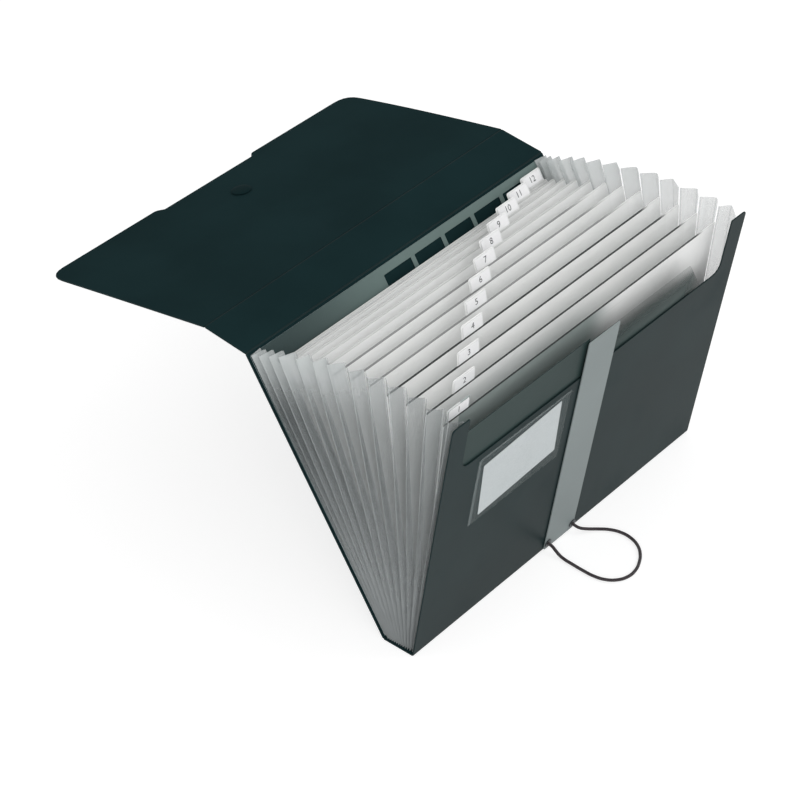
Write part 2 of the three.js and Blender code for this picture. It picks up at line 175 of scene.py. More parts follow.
class Graph:
    """A node tree with short calls that add, fill and join its nodes."""

    def __init__(self, tree: bpy.types.NodeTree) -> None:
        """Keeps the tree that the calls work on."""
        self.tree = tree

    def add(self, kind: str, inputs: dict | None = None, **settings: object) -> bpy.types.Node:
        """Adds a node.

        Args:
            kind: the node type's name without its ShaderNode prefix.
            inputs: a value or an output socket for each input, by name or number.
            settings: the node's own properties.

        Returns:
            The new node.
        """
        node = self.tree.nodes.new(f"ShaderNode{kind}")
        for name, value in settings.items():
            setattr(node, name, value)
        self.feed(node, inputs or {})
        return node

    def feed(self, node: bpy.types.Node, inputs: dict) -> None:
        """Fills a node's inputs: a socket is joined, and a plain value is set on the input itself."""
        for name, value in inputs.items():
            if isinstance(value, bpy.types.NodeSocket):
                self.tree.links.new(value, node.inputs[name])
            else:
                node.inputs[name].default_value = value

    def place(self) -> bpy.types.NodeSocket:
        """The shaded point in the piece's own coordinates."""
        return self.add("TexCoord").outputs["Object"]

    def axes(self, vector: object) -> dict[str, bpy.types.NodeSocket]:
        """The X, Y and Z of a vector."""
        return {socket.name: socket for socket in self.add("SeparateXYZ", {0: vector}).outputs}

    def bump(self, strength: float, distance: float, height: object) -> bpy.types.NodeSocket:
        """The normal over a relief that is a given distance deep, in metres."""
        inputs = {"Strength": strength, "Distance": distance, "Height": height}
        return self.add("Bump", inputs).outputs[0]

    def math(self, operation: str, *values: object, clamp: bool = False) -> bpy.types.NodeSocket:
        """The result of a Math node on values or sockets."""
        inputs = dict(enumerate(values))
        return self.add("Math", inputs, operation=operation, use_clamp=clamp).outputs[0]

    def noise(self, vector: object, scale: object, detail: float = 2.0) -> bpy.types.NodeSocket:
        """The value of a noise texture, about 0.5 on average."""
        inputs = {"Vector": vector, "Scale": scale, "Detail": detail}
        return self.add("TexNoise", inputs).outputs[0]

    def ramp(self, value: object, low: object, high: object) -> bpy.types.NodeSocket:
        """A smooth step from 0 at low to 1 at high."""
        inputs = {"Value": value, "From Min": low, "From Max": high}
        return self.add("MapRange", inputs, interpolation_type="SMOOTHSTEP").outputs[0]

    def blend(self, share: object, first: object, second: object) -> bpy.types.NodeSocket:
        """A colour between two others."""
        node = self.add("Mix", {"Factor": share}, data_type="RGBA")
        for name, value in (("A", first), ("B", second)):
            socket = next(s for s in node.inputs if s.name == name and s.type == "RGBA")
            if isinstance(value, bpy.types.NodeSocket):
                self.tree.links.new(value, socket)
            else:
                socket.default_value = (*value, 1.0)
        return next(s for s in node.outputs if s.type == "RGBA")

    def group(self, group: bpy.types.NodeTree, inputs: dict) -> bpy.types.Node:
        """Places a node group with the given inputs."""
        node = self.tree.nodes.new("ShaderNodeGroup")
        node.node_tree = group
        self.feed(node, inputs)
        return node


def new_group(name: str, inputs: dict[str, str], outputs: list[str]) -> tuple[Graph, dict, bpy.types.Node]:
    """Starts a shader node group.

    Args:
        name: the group's name.
        inputs: the socket type of each input, by name.
        outputs: the names of its outputs, which are all values.

    Returns:
        The group's graph, its input sockets by name, and its output node.
    """
    tree = bpy.data.node_groups.new(name, "ShaderNodeTree")
    for socket, kind in inputs.items():
        tree.interface.new_socket(socket, in_out="INPUT", socket_type=kind)
    for socket in outputs:
        tree.interface.new_socket(socket, in_out="OUTPUT", socket_type="NodeSocketFloat")
    start = tree.nodes.new("NodeGroupInput")
    return Graph(tree), {s.name: s for s in start.outputs if s.name}, tree.nodes.new("NodeGroupOutput")


def grain_group() -> bpy.types.NodeTree:
    """The fine embossed grain of a plastic sheet, and the slow drift of its tone.

    Returns:
        A group with Height for bump, and Tone between 0 and 1.
    """
    inputs = {"Vector": "NodeSocketVector", "Size": "NodeSocketFloat"}
    graph, given, out = new_group("sheet_grain", inputs, ["Height", "Tone"])
    fine = graph.math("DIVIDE", 1.0, given["Size"])
    pits = graph.add("TexVoronoi", {"Vector": given["Vector"], "Scale": fine}, feature="SMOOTH_F1")
    mist = graph.noise(given["Vector"], graph.math("MULTIPLY", fine, 2.3), 3.0)
    height = graph.math("MULTIPLY_ADD", mist, 0.6, pits.outputs["Distance"])
    slow = graph.noise(given["Vector"], 14.0, 3.0)
    graph.feed(out, {"Height": height, "Tone": graph.ramp(slow, 0.25, 0.75)})
    return graph.tree


def handling_group() -> bpy.types.NodeTree:
    """Marks that handling leaves: soft smears and a few hair-thin scratches.

    Returns:
        A group with a Mask that is 1 on a mark.
    """
    inputs = {"Vector": "NodeSocketVector", "Amount": "NodeSocketFloat"}
    graph, given, out = new_group("handling_marks", inputs, ["Mask"])
    smear = graph.ramp(graph.noise(given["Vector"], 22.0, 5.0), 0.52, 0.8)
    stretch = graph.add("Mapping", {"Vector": given["Vector"], "Rotation": (0.3, 0.5, 0.7),
                                    "Scale": (9.0, 700.0, 700.0)})
    scratch = graph.ramp(graph.noise(stretch.outputs[0], 1.0, 1.0), 0.73, 0.76)
    both = graph.math("MAXIMUM", smear, graph.math("MULTIPLY", scratch, 0.7))
    graph.feed(out, {"Mask": graph.math("MULTIPLY", both, given["Amount"])})
    return graph.tree


def seam_group() -> bpy.types.NodeTree:
    """The ribbed heat seal where film is welded along a sheet's two ends.

    Returns:
        A group with a Mask that is 1 on the seal, and Height for its ribs.
    """
    names = ["Edge", "Width", "Pitch"]
    inputs = {"Vector": "NodeSocketVector", **{name: "NodeSocketFloat" for name in names}}
    graph, given, out = new_group("heat_seal", inputs, ["Mask", "Height"])
    axes = graph.axes(given["Vector"])
    reach = graph.math("SUBTRACT", given["Edge"], graph.math("ABSOLUTE", axes["X"]))
    mask = graph.math("LESS_THAN", reach, given["Width"])
    turns = graph.math("DIVIDE", axes["Z"], given["Pitch"])
    ribs = graph.math("SINE", graph.math("MULTIPLY", turns, 2 * math.pi))
    graph.feed(out, {"Mask": mask, "Height": graph.math("MULTIPLY", ribs, mask)})
    return graph.tree


GRAIN = grain_group()
HANDLING = handling_group()
SEAM = seam_group()
SEAL_TONE = (0.95, 0.96, 0.95)
SEAL_SHARE = 0.5
RIB_PITCH = 1.6 * MM
RIB_RELIEF = 1.5
POCKET_STEPS = 3


def new_material(name: str) -> tuple[bpy.types.Material, Graph, bpy.types.Node]:
    """Starts a node material.

    Args:
        name: the material's name.

    Returns:
        The material, its graph and its Principled shader.
    """
    material = bpy.data.materials.new(name)
    material.use_nodes = True
    graph = Graph(material.node_tree)
    return material, graph, material.node_tree.nodes["Principled BSDF"]


@dataclass(frozen=True)
class SheetFinish:
    """A plastic sheet's look.

    Attributes:
        name: the material's name.
        color: its colour where nothing touches it.
        worn: its colour on handling marks.
        roughness: how far it spreads a reflection.
        ior: how strongly it reflects.
        grain: the size of its grain in metres.
        relief: the depth of its grain in metres.
        drift: how far its tone drifts over the sheet, as a share.
        marks: how strong the handling marks are, from 0 to 1.
        frost: how much of the light scatters through it, from 0 to 1.
        far_color: its colour towards the far end, where that differs; painted light, for a far part that
            stands in other light than the rest.
        far_span: where along X it turns to that colour.
        seal: the width of the heat seal along both ends in metres, or 0.
    """

    name: str
    color: Color
    worn: Color
    roughness: float = 0.45
    ior: float = 1.45
    grain: float = 0.8 * MM
    relief: float = 0.02 * MM
    drift: float = 0.08
    marks: float = 0.3
    frost: float = 0.0
    far_color: Color | None = None
    far_span: tuple[float, float] = (0.0, 40 * MM)
    seal: float = 0.0

    def material(self, edge: float = 0.0) -> bpy.types.Material:
        """Builds the finish.

        Args:
            edge: how far from the middle the sheet's ends are, where it has a heat seal.

        Returns:
            The node material.
        """
        material, graph, shader = new_material(self.name)
        place = graph.place()
        grain = graph.group(GRAIN, {"Vector": place, "Size": self.grain})
        marks = graph.group(HANDLING, {"Vector": place, "Amount": self.marks}).outputs["Mask"]
        light = tuple(min(1.0, c * (1 + self.drift)) for c in self.color)
        deep = tuple(c * (1 - self.drift) for c in self.color)
        color = graph.blend(grain.outputs["Tone"], deep, light)
        # Painted light: the colour turns towards the far colour along X, where light and shade fall
        # differently.
        if self.far_color:
            color = graph.blend(graph.ramp(graph.axes(place)["X"], *self.far_span), color, self.far_color)
        color = graph.blend(marks, color, self.worn)
        height = grain.outputs["Height"]
        if self.seal:
            inputs = {"Vector": place, "Edge": edge, "Width": self.seal, "Pitch": RIB_PITCH}
            seal = graph.group(SEAM, inputs)
            color = graph.blend(graph.math("MULTIPLY", seal.outputs["Mask"], SEAL_SHARE), color, SEAL_TONE)
            height = graph.math("MULTIPLY_ADD", seal.outputs["Height"], RIB_RELIEF, height)
        rough = graph.math("MULTIPLY_ADD", marks, 0.18, self.roughness)
        graph.feed(shader, {"Base Color": color, "Roughness": rough, "IOR": self.ior,
                            "Normal": graph.bump(0.6, self.relief, height),
                            "Subsurface Weight": self.frost, "Subsurface Radius": (1, 1, 1),
                            "Subsurface Scale": 2 * MM})
        return material


@dataclass(frozen=True)
class TintedFinish(SheetFinish):
    """A smoke-tinted sheet that is clearer along its lower, open top edge and its far end.

    Attributes:
        fade: how far the clearer part reaches from those edges.
        low_height: how far the sheet rises where its top edge is open.
        far_end: where along X it ends.
        open_from: where along X its top edge turns clearer.
        clearest: how much of its tint is gone along the clearer edges.
    """

    fade: float = 28.0 * MM
    low_height: float = 213.0 * MM
    far_end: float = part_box("front_pocket_wall")[1][0]
    open_from: tuple[float, float] = (-12 * MM, 20 * MM)
    clearest: float = 0.9

    def material(self, edge: float = 0.0) -> bpy.types.Material:
        """Builds the sheet's finish and thins it along the clearer edges.

        Args:
            edge: how far from the middle the sheet's ends are, where it has a heat seal.

        Returns:
            The node material.
        """
        material = super().material(edge)
        graph = Graph(material.node_tree)
        axes = graph.axes(graph.place())
        top = FRONT.point(0, 0, self.low_height).z
        lit = graph.ramp(axes["Z"], top - self.fade, top)
        open_edge = graph.math("MULTIPLY", lit, graph.ramp(axes["X"], *self.open_from))
        open_end = graph.ramp(axes["X"], self.far_end - self.fade, self.far_end)
        clear = graph.math("MULTIPLY", graph.math("MAXIMUM", open_edge, open_end), -self.clearest)
        graph.feed(material.node_tree.nodes["Principled BSDF"], {"Alpha": graph.math("ADD", 1.0, clear)})
        return material


@dataclass(frozen=True)
class ClearFinish:
    """Clear glossy film with a soft ripple, smeared a little by handling.

    Attributes:
        name: the material's name.
        opacity: how much light it stops where it is clean.
        color: the film's colour.
        smear: its colour where it is smeared.
    """

    name: str
    opacity: float
    color: Color = (0.36, 0.42, 0.42)
    smear: Color = (0.5, 0.55, 0.55)

    def material(self) -> bpy.types.Material:
        """The node material, which stops a little more light where it is smeared."""
        material, graph, shader = new_material(self.name)
        place = graph.place()
        smear = graph.group(HANDLING, {"Vector": place, "Amount": 0.5}).outputs["Mask"]
        graph.feed(shader, {"Base Color": graph.blend(smear, self.color, self.smear),
                            "Roughness": graph.math("MULTIPLY_ADD", smear, 0.2, 0.18),
                            "Alpha": graph.math("MULTIPLY_ADD", smear, 0.04, self.opacity),
                            "Normal": graph.bump(0.3, 0.08 * MM, graph.noise(place, 60.0, 2.0)),
                            "IOR": 1.35})
        return material


@dataclass(frozen=True)
class FilmFinish:
    """Thin frosted film, painted lighter at its folds and welds as a highlight.

    Attributes:
        name: the material's name.
        color: the film's colour.
        crease: its colour along a fold or a weld, a painted highlight.
        far_color: its colour at the far end, painted paler for the light that comes through it there.
        opacity: how much light one skin of it stops.
        crease_opacity: the same along a fold or a weld.
        gathered: the height below which the film is painted paler towards the bottom, painted light for its
            lower part.
        brim: the film's colour along its top edge, where light gets in between the folds.
        brim_opacity: the same along its top edge.
        brim_from: the share of the height where that starts.
        brim_pockets: the pockets between which it comes in, from the front.
        far_span: where along X it turns to its colour at the far end.
        fold_width: how far the painted highlight reaches from the fold, as a share of the film's width.
        weld_span: how far from the fold the painted highlight along its weld starts, and where it is full,
            the same way.
    """

    name: str
    color: Color
    crease: Color
    far_color: Color
    opacity: float
    crease_opacity: float
    gathered: float
    brim: Color
    brim_opacity: float
    brim_from: float = 0.78
    brim_pockets: tuple[int, int] = (2, 9)
    far_span: tuple[float, float] = (0.0, 160 * MM)
    fold_width: float = 0.05
    weld_span: tuple[float, float] = (0.44, 0.47)

    def material(self) -> bpy.types.Material:
        """The node material.

        The film's UV map runs across and up the fold, with POCKET_STEPS whole steps for each pocket.
        """
        material, graph, shader = new_material(self.name)
        uv = graph.add("UVMap", uv_map="UVMap").outputs[0]
        place = graph.place()
        fold_axes, axes = graph.axes(uv), graph.axes(place)
        off = graph.math("ABSOLUTE", graph.math("SUBTRACT", fold_axes["X"], 0.5))
        up = graph.math("FRACT", graph.math("SUBTRACT", fold_axes["Y"], 0.001))
        rearward = graph.ramp(fold_axes["Y"], *(pocket * POCKET_STEPS for pocket in self.brim_pockets))
        brim = graph.math("MULTIPLY", graph.ramp(up, self.brim_from, 1.0), rearward)
        fold = graph.math("SUBTRACT", 1.0, graph.ramp(off, 0.0, self.fold_width))
        weld = graph.ramp(off, *self.weld_span)
        streaks = graph.add("Mapping", {"Vector": uv, "Scale": (9.0, 0.8, 1.0)})
        cloud = graph.noise(streaks.outputs[0], 1.0, 3.0)
        tone = graph.ramp(cloud, 0.3, 0.75)
        # Painted highlight: the film is paler along its fold and near its welds.
        crease = graph.math("MAXIMUM", fold, graph.math("MULTIPLY", weld, 0.7))
        # Painted light: below that height the film turns paler and more opaque towards the bottom.
        rise = graph.ramp(axes["Z"], 0.0, self.gathered)
        crease = graph.math("MAXIMUM", crease, graph.math("SUBTRACT", 1.0, rise))
        share = graph.math("MULTIPLY_ADD", tone, 0.35, crease, clamp=True)
        film = graph.blend(graph.ramp(axes["X"], *self.far_span), self.color, self.far_color)
        color = graph.blend(brim, graph.blend(share, film, self.crease), self.brim)
        spread = self.crease_opacity - self.opacity
        body = graph.math("MULTIPLY_ADD", share, spread, self.opacity)
        alpha = graph.math("MULTIPLY_ADD", brim, graph.math("SUBTRACT", self.brim_opacity, body), body)
        grain = graph.group(GRAIN, {"Vector": place, "Size": 0.9 * MM})
        height = graph.math("MULTIPLY_ADD", tone, 1.5, grain.outputs["Height"])
        graph.feed(shader, {"Base Color": color, "Alpha": alpha, "IOR": 1.4,
                            "Roughness": graph.math("MULTIPLY_ADD", tone, 0.15, 0.38),
                            "Normal": graph.bump(0.5, 0.05 * MM, height)})
        return material


@dataclass(frozen=True)
class PaperFinish:
    """Paper or card, with its fibres.

    Attributes:
        name: the material's name.
        color: the paper's colour.
        fibre: its colour where the fibres lie thick.
    """

    name: str
    color: Color
    fibre: Color

    def material(self) -> bpy.types.Material:
        """The node material, with fibres as stretched noise in two directions."""
        material, graph, shader = new_material(self.name)
        place = graph.place()
        long, tall = (graph.add("Mapping", {"Vector": place, "Scale": scale}).outputs[0]
                      for scale in ((300.0, 1800.0, 1800.0), (1800.0, 1800.0, 300.0)))
        fibres = graph.math("MULTIPLY", graph.noise(long, 1.0), graph.noise(tall, 1.0))
        share = graph.ramp(fibres, 0.15, 0.4)
        graph.feed(shader, {"Base Color": graph.blend(share, self.color, self.fibre),
                            "Roughness": graph.math("MULTIPLY_ADD", share, 0.1, 0.7),
                            "Normal": graph.bump(0.4, 0.02 * MM, fibres)})
        return material


@dataclass(frozen=True)
class HardFinish:
    """A small moulded or enamelled fitting.

    Attributes:
        name: the material's name.
        color: its colour.
        worn: its colour where it is rubbed.
        roughness: how far it spreads a reflection.
        metallic: 1 for metal and 0 for plastic.
    """

    name: str
    color: Color
    worn: Color
    roughness: float
    metallic: float = 0.0

    def material(self) -> bpy.types.Material:
        """The node material, rubbed lighter in soft patches."""
        material, graph, shader = new_material(self.name)
        place = graph.place()
        marks = graph.group(HANDLING, {"Vector": place, "Amount": 0.6}).outputs["Mask"]
        grain = graph.group(GRAIN, {"Vector": place, "Size": 0.35 * MM})
        graph.feed(shader, {"Base Color": graph.blend(marks, self.color, self.worn),
                            "Roughness": graph.math("MULTIPLY_ADD", marks, 0.2, self.roughness),
                            "Normal": graph.bump(0.3, 0.01 * MM, grain.outputs["Height"]),
                            "Metallic": self.metallic})
        return material


@dataclass(frozen=True)
class BraidFinish:
    """The braided cover of an elastic cord.

    Attributes:
        name: the material's name.
        color: the yarn's colour in the hollows.
        crown: its colour on top of each stitch.
        strands: how many strands run round the cord each way.
        pitch: how far a strand runs along the cord in one turn, in metres.
        length: the cord's length in metres, which its UV map covers once.
    """

    name: str
    color: Color
    crown: Color
    strands: int
    pitch: float
    length: float

    def material(self) -> bpy.types.Material:
        """The node material: two families of strands that cross in the cord's UV map."""
        material, graph, shader = new_material(self.name)
        axes = graph.axes(graph.add("UVMap", uv_map="UVMap").outputs[0])
        along = graph.math("MULTIPLY", axes["Y"], self.length / self.pitch)
        waves = []
        for turn in (-1, 1):
            phase = graph.math("MULTIPLY_ADD", axes["X"], turn, along)
            wave = graph.math("SINE", graph.math("MULTIPLY", phase, 2 * math.pi * self.strands))
            waves.append(graph.math("MULTIPLY_ADD", wave, 0.5, 0.5))
        height = graph.math("MULTIPLY", *waves)
        graph.feed(shader, {"Base Color": graph.blend(height, self.color, self.crown),
                            "Normal": graph.bump(1.0, 0.15 * MM, height),
                            "Roughness": 0.8, "Sheen Weight": 0.2, "Sheen Roughness": 0.5})
        return material


OUTER_FINISH = SheetFinish("cover_outside", (0.0095, 0.021, 0.022), (0.018, 0.032, 0.034), 0.42, 1.15,
                           relief=0.03 * MM, drift=0.12, marks=0.35)
INNER_FINISH = SheetFinish("cover_inside", (0.0090, 0.0235, 0.0255), (0.013, 0.029, 0.032), 0.6, 1.04,
                           relief=0.02 * MM, drift=0.10, marks=0.3)
DIVIDER_FINISH = SheetFinish("divider_sheet", (0.90, 0.91, 0.90), (0.93, 0.93, 0.93), 0.42, 1.35,
                             drift=0.03, marks=0.25, frost=0.6, seal=16 * MM)
# Painted shade: the first divider is a darker copy of the divider finish, for the shade behind the tinted
# sheet. It turns to the plain divider colour from the middle towards the far end.
FIRST_DIVIDER_SHADE_FINISH = SheetFinish("first_divider_sheet", (0.33, 0.38, 0.37), (0.40, 0.44, 0.43), 0.42, 1.35,
                           drift=0.03, marks=0.25, frost=0.4, far_color=(0.90, 0.91, 0.90), seal=16 * MM)
# Painted shade: the band along each divider's top edge is dark on the front dividers, grey behind them and
# pale at the rear. The dark and grey bands turn pale towards the far end, where the shade stops.
EDGE_SHADE_FADE_TONE = (0.86, 0.87, 0.86)
EDGE_SHADE_FINISHES = (
    SheetFinish("divider_edge_dark", (0.05, 0.055, 0.055), (0.10, 0.105, 0.105), 0.4, 1.3,
                far_color=EDGE_SHADE_FADE_TONE, far_span=(128 * MM, 140 * MM)),
    SheetFinish("divider_edge_grey", (0.30, 0.305, 0.305), (0.36, 0.365, 0.365), 0.4, 1.3,
                far_color=EDGE_SHADE_FADE_TONE, far_span=(100 * MM, 140 * MM)),
    SheetFinish("divider_edge_pale", (0.66, 0.67, 0.66), (0.70, 0.71, 0.70), 0.4, 1.3),
)
# Painted light: the index sheet is darker at its near end and painted lighter towards the middle, to make up
# for the shade that the dividers throw on it.
INDEX_PAINTED_LIGHT_FINISH = SheetFinish("index_sheet", (0.050, 0.072, 0.072), (0.08, 0.11, 0.11), 0.45, 1.12, drift=0.08,
                           far_color=(0.155, 0.21, 0.20), far_span=(-140 * MM, 0.0))
INDEX_RIM = SheetFinish("index_sheet_rim", (0.22, 0.27, 0.28), (0.3, 0.35, 0.36), 0.4, 1.3)
# Painted light: the tinted sheet's colour turns lighter towards its far end, where it stands in more light.
TINTED_PAINTED_LIGHT_FINISH = TintedFinish("tinted_sheet", (0.024, 0.042, 0.040), (0.04, 0.06, 0.057), 0.4, 1.15,
                             drift=0.1, marks=0.1, far_color=(0.050, 0.070, 0.067),
                             far_span=(0.0, 110 * MM))
LABEL_FINISHES = (ClearFinish("clear_film", 0.06), ClearFinish("clear_film_weld", 0.16))
STRAP_FINISH = SheetFinish("strap_plastic", (0.216, 0.250, 0.250), (0.26, 0.295, 0.30), 0.5, 1.3, drift=0.04)
# Painted light and highlights: the film is painted paler at the far end, along its folds and welds, low down
# and along its brim.
FILM_FINISH = FilmFinish("pleat_film", (0.21, 0.232, 0.236), (0.51, 0.537, 0.542), (0.62, 0.635, 0.635),
                         0.30, 0.42, 170 * MM, (0.60, 0.63, 0.63), 0.55)
CARD_FINISH = PaperFinish("label_card", (0.61, 0.645, 0.655), (0.55, 0.585, 0.595))
TAB_FINISH = PaperFinish("tab_paper", (0.95, 0.95, 0.96), (0.92, 0.92, 0.93))
INK_FINISH = PaperFinish("number_ink", (0.06, 0.065, 0.07), (0.10, 0.105, 0.11))
EYELET_FINISH = HardFinish("eyelet_metal", (0.05, 0.055, 0.06), (0.18, 0.19, 0.2), 0.35, 1.0)
STOP_FINISH = HardFinish("stop_plastic", (0.03, 0.028, 0.03), (0.06, 0.058, 0.06), 0.45)
BUTTON_FINISH = HardFinish("button_plastic", (0.010, 0.020, 0.022), (0.03, 0.042, 0.045), 0.3)
CAP_FINISH = SheetFinish("rivet_cap", (0.005, 0.016, 0.0175), (0.010, 0.024, 0.026), 0.55, 1.06)


FLAT_ANGLE = math.radians(0.5)
SHARP_ANGLE = math.radians(40)
FACING = 0.9


def merged_copy(node: str) -> bmesh.types.BMesh:
    """A CAD node's shape with its loose triangles joined and its flat faces made whole.

    Args:
        node: the CAD node's name.

    Returns:
        A bmesh in the file's frame.
    """
    bm = bmesh.new()
    bm.from_mesh(frame["nodes"][node].data)
    bmesh.ops.remove_doubles(bm, verts=bm.verts[:], dist=0.001 * MM)
    bmesh.ops.dissolve_limit(bm, angle_limit=FLAT_ANGLE, verts=bm.verts[:], edges=bm.edges[:])
    bmesh.ops.recalc_face_normals(bm, faces=bm.faces[:])
    return bm


def rounded_copy(node: str, radius: float, segments: int = 2) -> bmesh.types.BMesh:
    """A CAD node's shape with its sharp edges rounded.

    Args:
        node: the CAD node's name.
        radius: how far the rounding reaches from the edge.
        segments: how many faces it has.

    Returns:
        A bmesh in the file's frame.
    """
    bm = merged_copy(node)
    sharp = [edge for edge in bm.edges if edge.calc_face_angle(0) > SHARP_ANGLE]
    bmesh.ops.bevel(bm, geom=sharp, offset=radius, segments=segments, profile=0.5,
                    affect="EDGES", clamp_overlap=True, material=-1)
    return bm


def cut_across(bm: bmesh.types.BMesh, leaf: Leaf, xs: list[float], heights: list[float]) -> None:
    """Cuts a sheet's faces along lines, so that it can bend there.

    Args:
        bm: the sheet's shape.
        leaf: where the sheet stands.
        xs: the places of the upright cuts.
        heights: the places of the level cuts.
    """
    cuts = [((x, 0, 0), (1, 0, 0)) for x in xs]
    cuts += [(leaf.point(0, 0, height), leaf.upward()) for height in heights]
    for place, direction in cuts:
        geometry = bm.verts[:] + bm.edges[:] + bm.faces[:]
        bmesh.ops.bisect_plane(bm, geom=geometry, plane_co=place, plane_no=direction)


def is_broad(face: bmesh.types.BMFace, normal: Vector) -> bool:
    """Whether a face is on one of a sheet's two broad sides, and not on its rim."""
    return abs(face.normal.dot(normal)) > FACING


def show(name: str, data: bpy.types.ID) -> bpy.types.Object:
    """Places a mesh, a lamp or a camera in the scene."""
    shown = bpy.data.objects.new(name, data)
    bpy.context.collection.objects.link(shown)
    return shown


def dress(mesh: bpy.types.Mesh, material: bpy.types.Material) -> None:
    """Gives a mesh one material in place of what it had."""
    mesh.materials.clear()
    mesh.materials.append(material)


def make_piece(name: str, bm: bmesh.types.BMesh, materials: list[bpy.types.Material],
               smooth_below: float = 15.0) -> bpy.types.Object:
    """Turns a bmesh into a shown object at the origin.

    Args:
        name: the piece's name.
        bm: its shape, which is used up.
        materials: its materials, by face index.
        smooth_below: faces that meet at less than this many degrees shade as one.

    Returns:
        The new object.
    """
    mesh = bpy.data.meshes.new(name)
    bm.to_mesh(mesh)
    bm.free()
    for material in materials:
        mesh.materials.append(material)
    mesh.polygons.foreach_set("use_smooth", [True] * len(mesh.polygons))
    mesh.set_sharp_from_angle(angle=math.radians(smooth_below))
    return show(name, mesh)


def stand_for(piece: bpy.types.Object, node: str) -> bpy.types.Object:
    """Puts a piece in a CAD node's place: on its body, and shown for it."""
    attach(piece, BODY_OF[node])
    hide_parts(node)
    return piece


@dataclass
class CoverSheet:
    """The scored cover: five stiff panels, and the thinned plastic that joins them.

    Attributes:
        rim: how far the panels' edges are rounded.
        sag: how far the flap's far corner hangs below flat.
        near_share: the near corner's share of that.
        flap_cuts: the number of strips that the flap bends in, each way.
        score_reach: how far a score strip runs into the panels on both sides.
        score_thickness: how thick the plastic is along a score.
        score_cells: the number of faces along a score strip and across it.
    """

    rim: float = 0.22 * MM
    sag: float = 3.0 * MM
    near_share: float = 0.2
    flap_cuts: int = 12
    score_reach: float = 1.5 * MM
    score_thickness: float = 0.45 * MM
    score_cells: tuple[int, int] = (24, 10)

    def sag_at(self, x: float, height: float) -> float:
        """How far the flap hangs below flat at a point of it."""
        low, high = span("flap", FLAP)
        along = (x - low.x) / (high.x - low.x)
        share = self.near_share + (1 - self.near_share) * along
        return self.sag * share * (max(0.0, height) / high.z) ** 3

    def flap(self) -> bmesh.types.BMesh:
        """The flap's shape, hanging a little at its outer edge."""
        bm = rounded_copy("flap", self.rim)
        low, high = span("flap", FLAP)
        shares = [step / self.flap_cuts for step in range(1, self.flap_cuts)]
        cut_across(bm, FLAP, [low.x + (high.x - low.x) * s for s in shares], [high.z * s for s in shares])
        into, out = FLAP.matrix().inverted(), FLAP.matrix()
        for vert in bm.verts:
            local = into @ vert.co
            local.y += self.sag_at(local.x, local.z)
            vert.co = out @ local
        return bm

    def score(self, leaf: Leaf, into_body: Vector, into_other: Vector, width: float) -> bmesh.types.BMesh:
        """A strip of thinned plastic that turns from one panel to the next.

        Args:
            leaf: the panel whose hinge line the strip runs along.
            into_body: the direction into the panel on the first side.
            into_other: the direction into the panel on the other side.
            width: the strip's length along X.

        Returns:
            The strip's shape.
        """
        pivot = leaf.point(0, 0, 0)
        along, over = self.score_cells
        bm = bmesh.new()
        bmesh.ops.create_grid(bm, x_segments=along, y_segments=over, size=1.0)
        for vert in bm.verts:
            x, t = vert.co.x * width / 2, (vert.co.y + 1) / 2
            before, after = (1 - t) ** 2, t ** 2
            offset = into_body * (before * self.score_reach) + into_other * (after * self.score_reach)
            vert.co = Vector((x, 0, 0)) + pivot + offset
        bm.normal_update()
        middle = self.score_thickness / 2
        for vert in bm.verts:
            vert.co += vert.normal * middle
        bmesh.ops.solidify(bm, geom=bm.faces[:], thickness=self.score_thickness)
        bmesh.ops.recalc_face_normals(bm, faces=bm.faces[:])
        return bm

    def build(self) -> list[bpy.types.Object]:
        """Builds and dresses the panels and their score strips."""
        plastic = [OUTER_FINISH.material(), INNER_FINISH.material()]
        made = []
        inward = {"bottom_spine": Vector((0, 0, 1)), "front_panel": FRONT.normal(),
                  "back_panel": -BACK.normal(), "top_spine": -TOP.normal(), "flap": -FLAP.normal()}
        for node, inner_way in inward.items():
            bm = self.flap() if node == "flap" else rounded_copy(node, self.rim)
            for face in bm.faces:
                face.material_index = int(face.normal.dot(inner_way) > FACING)
            made.append(stand_for(make_piece(f"{node}_sheet", bm, plastic), node))
        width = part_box("bottom_spine")[1][0] * 2 - 2 * self.rim
        back, forth = Vector((0, 1, 0)), Vector((0, -1, 0))
        scores = [
            ("score_spine_front", "spine", back, "front_cover", FRONT, FRONT.upward()),
            ("score_spine_back", "spine", forth, "back_cover", BACK, BACK.upward()),
            ("score_back_top", "back_cover", -BACK.upward(), "top_strip", TOP, TOP.upward()),
            ("score_top_flap", "top_strip", -TOP.upward(), "closing_flap", FLAP, FLAP.upward()),
        ]
        for name, body, into_body, other, leaf, into_other in scores:
            strip = make_piece(name, self.score(leaf, into_body, into_other, width), plastic, 60)
            pivot = leaf.point(0, 0, 0)
            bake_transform(strip)
            made.append(strip)
        return made


